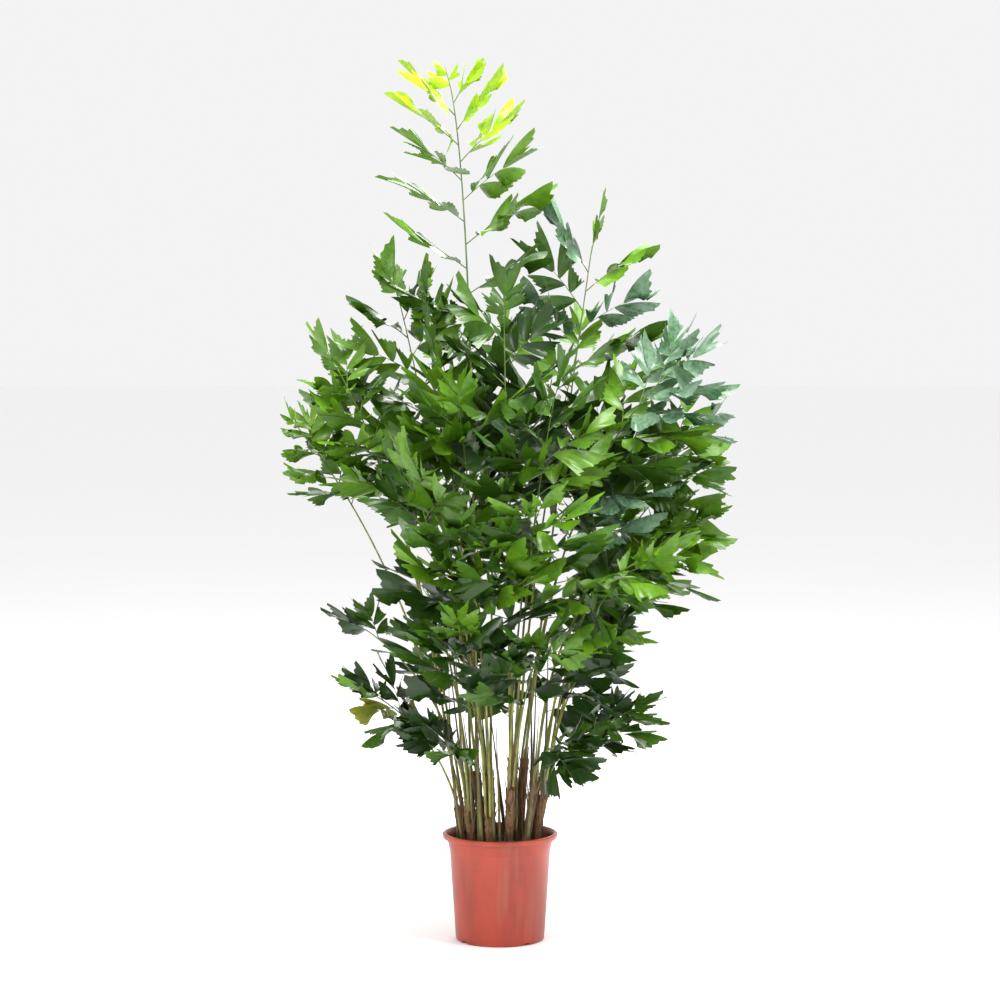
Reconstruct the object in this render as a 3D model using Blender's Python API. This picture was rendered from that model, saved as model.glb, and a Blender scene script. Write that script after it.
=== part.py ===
"""Fishtail palm in a nursery pot: a clump of sheathed canes whose fronds arch out round one tall young frond.

Metres, +Z up, origin at the middle of the pot's underside, front towards -Y."""
import math
import random
from typing import NamedTuple

import bpy
from mathutils import Matrix, Vector
from mathutils.bvhtree import BVHTree

# Clearances between neighbouring pieces
SEAT_GAP = 0.0003
LEAF_CLEARANCE = 0.0012

# Pot of injection-moulded plastic
POT_HEIGHT = 0.300
POT_SIDES = 32
POT_WALL = 0.0028
RIM_RADIUS = 0.160
RIM_DEPTH = 0.0155
RIM_ROUND = 0.0035
COLLAR_RADIUS = 0.1485
COLLAR_FOOT_RADIUS = 0.1425
COLLAR_DEPTH = 0.042
COLLAR_STEP = 0.004
BODY_RADIUS = 0.1405
FOOT_RADIUS = 0.1235
FOOT_CHAMFER = 0.0045
NOTCH_COUNT = 4
NOTCH_FIRST = -53.0
NOTCH_WIDTH = 0.030
NOTCH_HEIGHT = 0.007
NOTCH_DEPTH = 0.008

# Soil that fills it
SOIL_TOP = 0.283
SOIL_CROWN = 0.006
SOIL_FLAT_RADIUS = 0.125
SOIL_SLACK = 0.001

# Canes, in two rings
CANE_RINGS = (
    # canes, ring radius, first heading in degrees, lowest and highest top above the ground, lean per metre
    (6, 0.050, 0.0, 0.46, 0.53, 0.10),
    (12, 0.103, 12.0, 0.33, 0.46, 0.22),
)
CANE_RADIUS = 0.0118
CANE_FOOT_RADIUS = 0.0150
CANE_SIDES = 6
CANE_SWELL = 1.12
CANE_HEADING_JITTER = 5.0
CANE_RING_JITTER = 0.06
SEATS_OFFSET = 0.0062
SEATS_PER_CANE = 3
SEAT_TAKEN_STRAIN = 0.55
WRONG_RING_STRAIN = 1.2

# Frond stalks and sprays
STALK_FOOT_RADIUS = 0.0046
STALK_TIP_RADIUS = 0.0017
LAST_SPRAY = 0.985
FOOT_SPREAD = 62.0
TIP_SPREAD = 38.0
END_SPRAY_SPREAD = 4.0
END_SPRAY_SHARE = 0.85
SPRAY_LIFT_JITTER = 7.0
SPRAY_TILT_JITTER = 28.0
SPRAY_SAG = 0.14
FULL_SPRAY_EVERY = 4
FULL_SPRAY_LENGTH = 0.2
TRIAL_SHRINKS = (1.0, 0.85, 0.7)
TRIAL_TURNS = (0.0, 25.0, -25.0, 50.0, -50.0, 75.0, -75.0)
RIB_WIDTH = 0.0042
BLADE_THICKNESS = 0.0028

# Leaflets: how far they stand off their rib, in degrees, and how long they are against their spray
BARE_RIB = 0.34
RIB_END = 0.62
REAR_ANGLE = 78.0
LONE_PAIR_ANGLE = 66.0
TIP_ANGLE = 26.0
LEAFLET_FILL = 0.60
LEAFLET_SHARE = 0.42
LEAFLET_SAG = 0.16
LEAFLET_REAR_SHARE = 0.72
LEAFLET_UNEVENNESS = 0.08
TIP_LOBES = ((25.0, 0.42), (4.0, 0.30), (-19.0, 0.38))


class Frond(NamedTuple):
    """One frond, told by where its rachis ends and how it gets there."""

    name: str
    heading: float  # degrees from +X towards +Y
    reach: float  # of the rachis tip from the pot's axis
    height: float  # of the rachis tip above the ground
    bow: float  # 0 for straight, 1 for arching over
    bare: float  # share of the stalk below the first spray
    sprays: int
    spray_length: float
    roll: float  # degrees that the blade is turned about its stalk
    lift: float  # degrees that the sprays stand up from the blade, less than 0 where they hang


FRONDS = (
    Frond("frond_tall", 178.0, 0.135, 2.360, 1.30, 0.46, 14, 0.25, -70.0, 16.0),
    Frond("frond_upper_right", 21.0, 0.275, 1.930, 0.10, 0.52, 10, 0.30, 80.0, 5.0),
    Frond("frond_upper_left", 172.0, 0.285, 1.790, 0.35, 0.50, 9, 0.25, -60.0, 0.0),
    Frond("frond_left_front", 208.0, 0.215, 1.730, 0.20, 0.50, 8, 0.25, -40.0, 0.0),
    Frond("frond_centre_front", 275.0, 0.120, 1.740, 0.25, 0.50, 8, 0.25, -10.0, 0.0),
    Frond("frond_centre_back", 85.0, 0.260, 1.660, 0.40, 0.48, 8, 0.25, 50.0, 0.0),
    Frond("frond_crown_right", 342.0, 0.490, 1.590, 0.90, 0.48, 10, 0.27, 65.0, -15.0),
    Frond("frond_back_right", 52.0, 0.360, 1.640, 0.50, 0.48, 8, 0.25, 40.0, 0.0),
    Frond("frond_back_left", 117.0, 0.360, 1.600, 0.50, 0.48, 8, 0.25, -40.0, 0.0),
    Frond("frond_crown_left", 190.0, 0.450, 1.590, 0.60, 0.62, 8, 0.22, -40.0, 5.0),
    Frond("frond_front_right", 297.0, 0.320, 1.520, 0.50, 0.52, 8, 0.25, 15.0, -10.0),
    Frond("frond_front_left", 248.0, 0.290, 1.480, 0.45, 0.52, 8, 0.25, 0.0, -10.0),
    Frond("frond_far_left", 185.0, 0.565, 1.440, 0.55, 0.74, 7, 0.15, -35.0, 0.0),
    Frond("frond_right", 352.0, 0.560, 1.440, 1.00, 0.50, 9, 0.26, 60.0, -15.0),
    Frond("frond_right_low", 345.0, 0.530, 1.170, 0.90, 0.62, 6, 0.20, 50.0, -10.0),
    Frond("frond_right_front", 320.0, 0.480, 1.080, 1.20, 0.55, 7, 0.24, 30.0, -15.0),
    Frond("frond_front", 283.0, 0.440, 1.220, 0.80, 0.50, 8, 0.24, 0.0, -10.0),
    Frond("frond_front_lower", 258.0, 0.420, 1.160, 0.80, 0.50, 8, 0.24, 0.0, -10.0),
    Frond("frond_left_bend", 234.0, 0.400, 1.320, 0.60, 0.56, 7, 0.22, -20.0, 0.0),
    Frond("frond_left_back", 163.0, 0.420, 1.480, 0.50, 0.64, 7, 0.20, -30.0, 5.0),
    Frond("frond_back_bend_left", 122.0, 0.470, 1.280, 0.70, 0.48, 8, 0.25, -45.0, -10.0),
    Frond("frond_back", 92.0, 0.480, 1.360, 0.70, 0.48, 8, 0.25, 45.0, -10.0),
    Frond("frond_back_bend_right", 55.0, 0.480, 1.260, 0.70, 0.48, 8, 0.25, 45.0, -10.0),
    Frond("frond_back_mid_right", 40.0, 0.420, 1.040, 0.70, 0.50, 7, 0.23, -40.0, -10.0),
    Frond("frond_back_mid_left", 134.0, 0.370, 1.050, 0.70, 0.50, 7, 0.20, 40.0, -10.0),
    Frond("frond_right_back", 12.0, 0.560, 1.320, 0.90, 0.54, 8, 0.24, 55.0, -15.0),
    Frond("frond_low_right", 336.0, 0.330, 0.880, 0.70, 0.50, 6, 0.20, 30.0, -10.0),
    Frond("frond_low_right_tip", 352.0, 0.350, 0.640, 0.60, 0.60, 5, 0.14, 40.0, 0.0),
    Frond("frond_low_front_right", 290.0, 0.330, 0.860, 0.70, 0.50, 6, 0.20, 0.0, -10.0),
    Frond("frond_low_front_left", 252.0, 0.320, 0.880, 0.70, 0.50, 6, 0.20, 0.0, -10.0),
    Frond("frond_low_left", 198.0, 0.365, 0.700, 0.70, 0.60, 5, 0.15, -35.0, 0.0),
    Frond("frond_low_left_back", 171.0, 0.380, 0.860, 0.70, 0.62, 5, 0.16, -35.0, 0.0),
    Frond("frond_low_back_left", 115.0, 0.380, 0.820, 0.70, 0.50, 6, 0.20, 0.0, -10.0),
    Frond("frond_low_back_right", 62.0, 0.380, 0.780, 0.70, 0.50, 6, 0.20, 0.0, -10.0),
    Frond("frond_young_right", 318.0, 0.230, 0.570, 1.30, 0.50, 5, 0.19, 30.0, -25.0),
    Frond("frond_young_left", 218.0, 0.215, 0.600, 1.10, 0.45, 5, 0.16, -20.0, -20.0),
    Frond("frond_young_back", 84.0, 0.220, 0.620, 0.90, 0.44, 4, 0.15, 0.0, -10.0),
)
TALL_FROND = 1.45
LONG_STALK = 2.0

# Where sky shows through the crown from the front: X, Z and radius of each opening
SKY = (
    (-0.40, 1.10, 0.13),
    (-0.32, 1.00, 0.08),
    (0.36, 0.74, 0.06),
    (0.56, 0.98, 0.09),
    (-0.30, 0.80, 0.05),
)

for thing in list(bpy.data.objects):
    bpy.data.objects.remove(thing, do_unlink=True)


def plain_material(name, colour, roughness):
    """A non-metal Principled finish."""
    material = bpy.data.materials.new(name)
    material.use_nodes = True
    shader = material.node_tree.nodes["Principled BSDF"]
    shader.inputs["Base Color"].default_value = (*colour, 1.0)
    shader.inputs["Roughness"].default_value = roughness
    shader.inputs["Metallic"].default_value = 0.0
    return material


def place_mesh(name, vertices, faces, material, smooth=False):
    """A mesh object in the scene."""
    mesh = bpy.data.meshes.new(name)
    mesh.from_pydata([tuple(v) for v in vertices], [], faces)
    mesh.materials.append(material)
    if smooth:
        mesh.shade_smooth()
        mesh.set_sharp_from_angle(angle=math.radians(40.0))
    piece = bpy.data.objects.new(name, mesh)
    bpy.context.scene.collection.objects.link(piece)
    return piece


def around(degrees, radius, height=0.0):
    """The place at a heading and a distance from the upright axis."""
    angle = math.radians(degrees)
    return Vector((radius * math.cos(angle), radius * math.sin(angle), height))


def turned(profile, sides):
    """Vertices and faces of a closed profile turned round Z. Its first and last points are on the axis."""
    vertices = [Vector((0.0, 0.0, profile[0][1]))]
    for radius, height in profile[1:-1]:
        vertices += [around(360.0 * k / sides, radius, height) for k in range(sides)]
    vertices.append(Vector((0.0, 0.0, profile[-1][1])))
    rings = len(profile) - 2
    faces = []
    for k in range(sides):
        after = (k + 1) % sides
        faces.append((0, 1 + after, 1 + k))
        for ring in range(rings - 1):
            low = 1 + ring * sides
            high = low + sides
            faces.append((low + k, low + after, high + after, high + k))
        top = 1 + (rings - 1) * sides
        faces.append((top + k, top + after, len(vertices) - 1))
    return vertices, faces


def wall_radius(height):
    """Outer radius of the pot's wall at a height: a tapering body under a wider collar."""
    collar_foot = POT_HEIGHT - COLLAR_DEPTH
    if height >= collar_foot:
        share = (height - collar_foot) / COLLAR_DEPTH
        return COLLAR_FOOT_RADIUS + share * (COLLAR_RADIUS - COLLAR_FOOT_RADIUS)
    return FOOT_RADIUS + height / collar_foot * (BODY_RADIUS - FOOT_RADIUS)


def build_pot(material):
    """The pot, with a rolled rim, a stepped collar and drain notches round its foot."""
    collar_foot = POT_HEIGHT - COLLAR_DEPTH
    rim_foot = POT_HEIGHT - RIM_DEPTH
    profile = [
        (0.0, 0.0),
        (FOOT_RADIUS - FOOT_CHAMFER, 0.0),
        (FOOT_RADIUS, FOOT_CHAMFER),
        (BODY_RADIUS, collar_foot - COLLAR_STEP),
        (COLLAR_FOOT_RADIUS, collar_foot),
        (COLLAR_RADIUS, rim_foot),
        (RIM_RADIUS - RIM_ROUND, rim_foot),
        (RIM_RADIUS, rim_foot + RIM_ROUND),
        (RIM_RADIUS, POT_HEIGHT - RIM_ROUND),
        (RIM_RADIUS - RIM_ROUND, POT_HEIGHT),
        (COLLAR_RADIUS + RIM_ROUND, POT_HEIGHT),
        (COLLAR_RADIUS - POT_WALL, rim_foot),
        (BODY_RADIUS - POT_WALL, collar_foot - COLLAR_STEP),
        (FOOT_RADIUS - POT_WALL, POT_WALL),
        (0.0, POT_WALL),
    ]
    vertices, faces = turned(profile, POT_SIDES)
    pot = place_mesh("pot", vertices, faces, material, smooth=True)
    for k in range(NOTCH_COUNT):
        heading = NOTCH_FIRST - 90.0 + k * 360.0 / NOTCH_COUNT
        bpy.ops.mesh.primitive_cube_add(size=1.0)
        cutter = bpy.context.active_object
        cutter.name = f"notch_cutter_{k}"
        cutter.scale = (2.0 * NOTCH_DEPTH, NOTCH_WIDTH, 2.0 * NOTCH_HEIGHT)
        cutter.rotation_euler = (0.0, 0.0, math.radians(heading))
        cutter.location = around(heading, FOOT_RADIUS, 0.0)
        cutter.hide_render = True
        cutter.display_type = "WIRE"
        cut = pot.modifiers.new(f"notch_{k}", "BOOLEAN")
        cut.operation = "DIFFERENCE"
        cut.object = cutter


def build_soil(material):
    """The root ball, 0.3 mm clear of the pot all round, with a low crown."""
    foot = POT_WALL + SEAT_GAP
    inside = POT_WALL + 2.0 * SEAT_GAP
    collar_foot = POT_HEIGHT - COLLAR_DEPTH
    profile = [
        (0.0, foot),
        (FOOT_RADIUS - inside - NOTCH_DEPTH, foot),
        (FOOT_RADIUS - inside - NOTCH_DEPTH, 2.0 * NOTCH_HEIGHT),
        (wall_radius(2.0 * NOTCH_HEIGHT) - inside - 2.0 * SOIL_SLACK, 2.5 * NOTCH_HEIGHT),
        (BODY_RADIUS - inside - SOIL_SLACK, collar_foot - COLLAR_STEP),
        (COLLAR_FOOT_RADIUS - inside - SOIL_SLACK, SOIL_TOP - SOIL_CROWN),
        (SOIL_FLAT_RADIUS, SOIL_TOP),
        (0.0, SOIL_TOP),
    ]
    vertices, faces = turned(profile, POT_SIDES)
    place_mesh("soil", vertices, faces, material, smooth=True)


class Cane(NamedTuple):
    """A cane's name, its foot and the middle of its flat top."""

    name: str
    foot: Vector
    top: Vector
    inner: bool


def lay_out_canes():
    """The canes of both rings, each leaning a little outwards."""
    dice = random.Random(7)
    canes = []
    for ring, (count, radius, first, low, high, lean) in enumerate(CANE_RINGS):
        for k in range(count):
            heading = first + 360.0 * k / count + dice.uniform(-CANE_HEADING_JITTER, CANE_HEADING_JITTER)
            off_ring = dice.uniform(1.0 - CANE_RING_JITTER, 1.0 + CANE_RING_JITTER)
            foot = around(heading, radius * off_ring, SOIL_TOP + SEAT_GAP)
            height = dice.uniform(low, high)
            top = foot + around(heading, lean * (height - foot.z), height - foot.z)
            canes.append(Cane(f"cane_{len(canes) + 1:02d}", foot, top, ring == 0))
    return canes


def build_cane(cane, material):
    """A tapered cane with the swollen rings where old leaf sheaths ended."""
    vertices = []
    shares = (0.0, 0.10, 0.46, 0.54, 1.0)
    swollen = CANE_SWELL * CANE_RADIUS
    radii = (CANE_FOOT_RADIUS, swollen, CANE_RADIUS, swollen, CANE_RADIUS)
    for share, radius in zip(shares, radii):
        middle = cane.foot.lerp(cane.top, share)
        vertices += [middle + around(360.0 * k / CANE_SIDES, radius) for k in range(CANE_SIDES)]
    faces = [tuple(reversed(range(CANE_SIDES)))]
    for ring in range(len(shares) - 1):
        low = ring * CANE_SIDES
        for k in range(CANE_SIDES):
            after = (k + 1) % CANE_SIDES
            faces.append((low + k, low + after, low + CANE_SIDES + after, low + CANE_SIDES + k))
    top = (len(shares) - 1) * CANE_SIDES
    faces.append(tuple(range(top, top + CANE_SIDES)))
    place_mesh(cane.name, vertices, faces, material, smooth=True)


def strain(cane, frond, taken):
    """How badly a frond would sit on a cane: turned away, crowded or on the wrong ring."""
    turn = around(frond.heading, 1.0).angle(Vector((cane.top.x, cane.top.y, 0.0)))
    wrong_ring = cane.inner != (frond.height > TALL_FROND)
    return turn + SEAT_TAKEN_STRAIN * taken + (WRONG_RING_STRAIN if wrong_ring else 0.0)


def seat_fronds(canes):
    """Gives each frond a cane near its heading: tall ones first, then the others from the lowest up."""
    carried = {cane.name: [] for cane in canes}
    for frond in sorted(FRONDS, key=lambda frond: 0.0 if frond.height > TALL_FROND else frond.height):
        free = [cane for cane in canes if len(carried[cane.name]) < SEATS_PER_CANE]
        best = min(free, key=lambda cane: strain(cane, frond, len(carried[cane.name])))
        carried[best.name].append(frond)
    return carried


def frond_feet(canes):
    """The middle of each stalk's foot, 0.3 mm over its cane's top."""
    feet = {}
    carried = seat_fronds(canes)
    for cane in canes:
        fronds = sorted(carried[cane.name], key=lambda frond: frond.heading)
        if len(fronds) == 1:
            feet[fronds[0].name] = cane.top + Vector((0.0, 0.0, SEAT_GAP))
            continue
        step = 360.0 / max(len(fronds), 1)
        errors = [around(frond.heading - k * step, 1.0) for k, frond in enumerate(fronds)]
        mean = sum(errors, Vector((0.0, 0.0, 0.0)))
        first = math.degrees(math.atan2(mean.y, mean.x))
        for k, frond in enumerate(fronds):
            feet[frond.name] = cane.top + around(first + k * step, SEATS_OFFSET, SEAT_GAP)
    return feet


class Stalk:
    """A frond's petiole and rachis: a curve from its foot over a shoulder to its tip."""

    def __init__(self, frond, foot):
        self.frond = frond
        self.foot = foot
        self.tip = around(frond.heading, frond.reach, frond.height)
        across = Vector((self.tip.x - foot.x, self.tip.y - foot.y, 0.0))
        rise = Vector((0.0, 0.0, self.tip.z - foot.z))
        self.shoulder = foot + across * (0.5 - 0.35 * frond.bow) + rise * (0.5 + 0.25 * frond.bow)
        self.segments = 3 + round(3 * frond.bow) + (2 if frond.height > LONG_STALK else 0)

    def point(self, t):
        return self.foot * (1 - t) ** 2 + self.shoulder * (2 * t * (1 - t)) + self.tip * t**2

    def middle(self, t):
        """The place on the straight segments of the tube, where a spray is rooted."""
        step = min(int(t * self.segments), self.segments - 1)
        low, high = self.point(step / self.segments), self.point((step + 1) / self.segments)
        return low.lerp(high, t * self.segments - step)

    def tangent(self, t):
        return ((self.shoulder - self.foot) * (1 - t) + (self.tip - self.shoulder) * t).normalized()

    def radius(self, t):
        return STALK_FOOT_RADIUS + (STALK_TIP_RADIUS - STALK_FOOT_RADIUS) * t

    def frame(self, t):
        """Unit vectors along the stalk, across the blade and out of its upper face."""
        along = self.tangent(t)
        level = around(self.frond.heading + 90.0, 1.0)
        across = (level - along * level.dot(along)).normalized()
        across = Matrix.Rotation(math.radians(self.frond.roll), 3, along) @ across
        return along, across, along.cross(across)


def stalk_mesh(stalk):
    """A three-sided tapering tube, level at its foot."""
    segments = stalk.segments
    vertices = []
    for ring in range(segments + 1):
        t = ring / segments
        middle = stalk.point(t)
        radius = stalk.radius(t)
        along, across, up = stalk.frame(t)
        for k in range(3):
            angle = math.radians(90.0 + 120.0 * k)
            corner = across * (radius * math.cos(angle)) + up * (radius * math.sin(angle))
            if ring == 0:
                corner -= along * (corner.z / along.z)
            vertices.append(middle + corner)
    faces = [(2, 1, 0)]
    for ring in range(segments):
        low = 3 * ring
        for k in range(3):
            after = (k + 1) % 3
            faces.append((low + k, low + after, low + 3 + after, low + 3 + k))
    last = 3 * segments
    faces.append((last, last + 1, last + 2))
    return vertices, faces


class Spray(NamedTuple):
    """One leafy side branch of a frond: where it starts, its directions, and its size."""

    base: Vector
    along: Vector
    across: Vector
    up: Vector
    length: float
    pairs: int
    sag: float


def spray_mesh(spray, grow=0.0):
    """A rib with pairs of wedge leaflets cut to it and a forked one at its tip, as one closed thin blade."""
    stations = [0.0] + [BARE_RIB + (RIB_END - BARE_RIB) * k / spray.pairs for k in range(spray.pairs + 1)]
    thick = BLADE_THICKNESS / 2 + grow
    half = RIB_WIDTH / 2 + grow
    edge = Vector(spray.up) * grow
    vertices = []
    faces = []

    def middle(share):
        return spray.base + spray.along * (share * spray.length) - Vector((0.0, 0.0, spray.sag * share**2))

    def corners(sign):
        """Upper and lower vertex of the rib's side at each station, as numbers."""
        row = []
        for share in stations:
            place = middle(share) + spray.across * (sign * half)
            vertices.extend((place + spray.up * thick, place - spray.up * thick))
            row.append((len(vertices) - 2, len(vertices) - 1))
        return row

    def blade(rim, outline, sign):
        """A leaflet that thins from two rib corners to a knife edge along its outline."""
        (start_up, start_low), (stop_up, stop_low) = rim
        points = []
        for place in outline:
            vertices.append(place + edge)
            points.append(len(vertices) - 1)
        new = [(start_up, points[0], start_low), (stop_up, stop_low, points[-1])]
        new += [(start_up, stop_up, *reversed(points)), (start_low, *points, stop_low)]
        faces.extend(face if sign > 0 else tuple(reversed(face)) for face in new)

    def reach(start, degrees, share):
        """A leaflet's outline point, seen from its root."""
        angle = math.radians(degrees)
        way = spray.along * math.cos(angle) + spray.across * math.sin(angle)
        drop = Vector((0.0, 0.0, LEAFLET_SAG * share * spray.length))
        return start + way * (share * spray.length + grow) - drop

    left, right = corners(1.0), corners(-1.0)
    faces.append((left[0][0], left[0][1], right[0][1], right[0][0]))
    rear_most = REAR_ANGLE if spray.pairs > 1 else LONE_PAIR_ANGLE
    spread = (rear_most - TIP_ANGLE) / spray.pairs
    for k in range(len(stations) - 1):
        faces.append((left[k][0], right[k][0], right[k + 1][0], left[k + 1][0]))
        faces.append((left[k][1], left[k + 1][1], right[k + 1][1], right[k][1]))
        for sign, row in ((1.0, left), (-1.0, right)):
            if k == 0:
                wall = (row[0][0], row[1][0], row[1][1], row[0][1])
                faces.append(wall if sign > 0 else tuple(reversed(wall)))
                continue
            rear = rear_most - spread * (k - 1)
            front = rear - LEAFLET_FILL * spread
            size = LEAFLET_SHARE * (1.0 + sign * LEAFLET_UNEVENNESS)
            start = middle(stations[k]) + spray.across * (sign * half)
            stop = middle(stations[k + 1]) + spray.across * (sign * half)
            outline = [reach(start, sign * rear, LEAFLET_REAR_SHARE * size), reach(stop, sign * front, size)]
            blade((row[k], row[k + 1]), outline, sign)
    end = middle(stations[-1])
    lobes = [reach(end, degrees, share) for degrees, share in TIP_LOBES]
    blade((left[-1], right[-1]), lobes, 1.0)
    return vertices, faces


def spray_length(frond, share):
    """Sprays are longest a third of the way along the blade and shortest at its tip."""
    swell = math.sin(math.pi * min(1.0, 1.6 * share))
    return frond.spray_length * (0.80 + 0.20 * swell - 0.25 * share**3)


def frond_sprays(stalk, number):
    """Places for a frond's sprays, in turn on its two sides and one at its tip."""
    frond = stalk.frond
    dice = random.Random(100 + number)
    for k in range(frond.sprays):
        share = k / (frond.sprays - 1)
        t = frond.bare + (LAST_SPRAY - frond.bare) * share
        along, across, up = stalk.frame(t)
        side = 1.0 if k % 2 else -1.0
        spread = math.radians(FOOT_SPREAD + (TIP_SPREAD - FOOT_SPREAD) * share)
        length = spray_length(frond, share)
        if k == frond.sprays - 1:
            spread = math.radians(END_SPRAY_SPREAD)
            length *= END_SPRAY_SHARE
        lift = math.radians(frond.lift + dice.uniform(-SPRAY_LIFT_JITTER, SPRAY_LIFT_JITTER))
        out = across * (side * math.cos(lift)) + up * math.sin(lift)
        way = along * math.cos(spread) + out * math.sin(spread)
        face = up * math.cos(lift) - across * (side * math.sin(lift))
        tilt = math.radians(dice.uniform(-SPRAY_TILT_JITTER, SPRAY_TILT_JITTER))
        pairs = 2 if length > FULL_SPRAY_LENGTH and k % FULL_SPRAY_EVERY == 0 else 1
        yield Spray(stalk.middle(t), way, across, face, length, pairs, SPRAY_SAG * length), tilt


def turned_spray(spray, tilt, shrink):
    """The spray with its blade turned about its rib and its length cut."""
    flat = (spray.up - spray.along * spray.up.dot(spray.along)).normalized()
    up = Matrix.Rotation(tilt, 3, spray.along) @ flat
    across = up.cross(spray.along)
    return spray._replace(across=across, up=up, length=spray.length * shrink, sag=spray.sag * shrink)


def in_sky(spray):
    """Whether the outer part of a spray would cover one of the openings."""
    for share in (0.5, 0.8, 1.0):
        place = spray.base + spray.along * (share * spray.length)
        if any(math.hypot(place.x - x, place.z - z) < radius for x, z, radius in SKY):
            return True
    return False


class Space:
    """What is already in the crown, so that nothing new touches it."""

    def __init__(self):
        self.held = []

    def add(self, owner, mesh):
        vertices, faces = mesh
        low = Vector([min(v[k] for v in vertices) for k in range(3)])
        high = Vector([max(v[k] for v in vertices) for k in range(3)])
        self.held.append((owner, low, high, BVHTree.FromPolygons(vertices, faces)))

    def free(self, owners, mesh):
        """Whether a mesh meets nothing that others than its owners hold."""
        vertices, faces = mesh
        low = [min(v[k] for v in vertices) for k in range(3)]
        high = [max(v[k] for v in vertices) for k in range(3)]
        tree = BVHTree.FromPolygons(vertices, faces)
        for holder, low_held, high_held, tree_held in self.held:
            if holder in owners:
                continue
            if any(low[k] > high_held[k] or high[k] < low_held[k] for k in range(3)):
                continue
            if tree.overlap(tree_held):
                return False
        return True


def fuse(name, meshes, material):
    """One object from overlapping closed meshes, by a union over a collection that is then removed."""
    gathered = bpy.data.collections.new(f"{name}_pieces")
    bpy.context.scene.collection.children.link(gathered)
    base = place_mesh(name, *meshes[0], material)
    for k, (vertices, faces) in enumerate(meshes[1:]):
        piece = place_mesh(f"{name}_piece_{k}", vertices, faces, material)
        bpy.context.scene.collection.objects.unlink(piece)
        gathered.objects.link(piece)
    union = base.modifiers.new("union", "BOOLEAN")
    union.operation = "UNION"
    union.operand_type = "COLLECTION"
    union.collection = gathered
    union.solver = "EXACT"
    with bpy.context.temp_override(object=base, active_object=base, selected_objects=[base]):
        bpy.ops.object.modifier_apply(modifier=union.name)
    for piece in list(gathered.objects):
        bpy.data.objects.remove(piece, do_unlink=True)
    bpy.data.collections.remove(gathered)
    return base


def cane_envelope(cane):
    """A three-sided prism that stands for a cane in the crown's space."""
    rise = Vector((0.0, 0.0, cane.top.z - cane.foot.z))
    ring = [cane.foot + around(120.0 * k, CANE_FOOT_RADIUS) for k in range(3)]
    faces = [(2, 1, 0), (3, 4, 5), (0, 1, 4, 3), (1, 2, 5, 4), (2, 0, 3, 5)]
    return ring + [corner + rise for corner in ring], faces


def clear_spray(space, name, spray, tilt):
    """The spray as large and as little turned as leaves it clear of its neighbours, or nothing."""
    for shrink in TRIAL_SHRINKS:
        for turn in TRIAL_TURNS:
            trial = turned_spray(spray, tilt + math.radians(turn), shrink)
            if space.free((name,), spray_mesh(trial, LEAF_CLEARANCE)):
                return trial
    return None


def build_fronds(canes, material):
    """All stalks first, then the sprays in turns over the fronds, so that the crown fills evenly."""
    feet = frond_feet(canes)
    stalks = [Stalk(frond, feet[frond.name]) for frond in FRONDS]
    space = Space()
    for cane in canes:
        space.add(cane.name, cane_envelope(cane))
    for stalk in stalks:
        space.add(stalk.frond.name, stalk_mesh(stalk))
    meshes = {stalk.frond.name: [stalk_mesh(stalk)] for stalk in stalks}
    rows = [list(frond_sprays(stalk, number)) for number, stalk in enumerate(stalks)]
    for k in range(max(len(row) for row in rows)):
        for stalk, row in zip(stalks, rows):
            if k >= len(row) or in_sky(row[-1 - k][0]):
                continue
            name = stalk.frond.name
            spray = clear_spray(space, name, *row[-1 - k])
            if spray:
                meshes[name].append(spray_mesh(spray))
                space.add(f"{name} spray {k}", meshes[name][-1])
    for name, pieces in meshes.items():
        fuse(name, pieces, material)


def main():
    pot_red = plain_material("pot_plastic", (0.58, 0.075, 0.04), 0.45)
    soil_dark = plain_material("soil", (0.02, 0.015, 0.012), 0.95)
    sheath_brown = plain_material("cane_sheath", (0.16, 0.09, 0.045), 0.8)
    leaf_green = plain_material("leaf", (0.07, 0.17, 0.03), 0.45)
    build_pot(pot_red)
    build_soil(soil_dark)
    canes = lay_out_canes()
    for cane in canes:
        build_cane(cane, sheath_brown)
    build_fronds(canes, leaf_green)


main()
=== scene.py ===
"""A clumping fishtail palm in a terracotta-red nursery pot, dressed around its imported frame."""

import math
import random
from typing import NamedTuple

import bpy
import numpy as np
from mathutils import Matrix, Vector, noise


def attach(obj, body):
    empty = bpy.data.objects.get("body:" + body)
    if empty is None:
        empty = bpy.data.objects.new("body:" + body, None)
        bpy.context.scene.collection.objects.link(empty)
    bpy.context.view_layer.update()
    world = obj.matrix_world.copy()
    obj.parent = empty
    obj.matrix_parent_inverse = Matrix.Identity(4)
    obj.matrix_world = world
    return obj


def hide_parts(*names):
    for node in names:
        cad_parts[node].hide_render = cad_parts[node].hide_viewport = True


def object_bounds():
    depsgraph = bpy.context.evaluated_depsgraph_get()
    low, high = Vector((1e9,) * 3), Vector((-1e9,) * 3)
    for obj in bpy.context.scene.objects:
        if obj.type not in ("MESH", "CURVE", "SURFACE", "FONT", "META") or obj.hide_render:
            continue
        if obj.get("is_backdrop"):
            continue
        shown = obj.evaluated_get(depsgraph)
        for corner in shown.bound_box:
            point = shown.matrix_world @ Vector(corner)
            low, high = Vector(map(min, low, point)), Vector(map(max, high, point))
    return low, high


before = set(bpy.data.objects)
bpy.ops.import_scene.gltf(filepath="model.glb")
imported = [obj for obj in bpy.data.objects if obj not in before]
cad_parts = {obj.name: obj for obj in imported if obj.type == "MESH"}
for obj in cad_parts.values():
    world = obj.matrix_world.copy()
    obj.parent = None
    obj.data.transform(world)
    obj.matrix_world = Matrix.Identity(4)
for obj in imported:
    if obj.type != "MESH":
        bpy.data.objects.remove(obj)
cad_low, cad_high = (list(corner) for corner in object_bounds())

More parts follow.
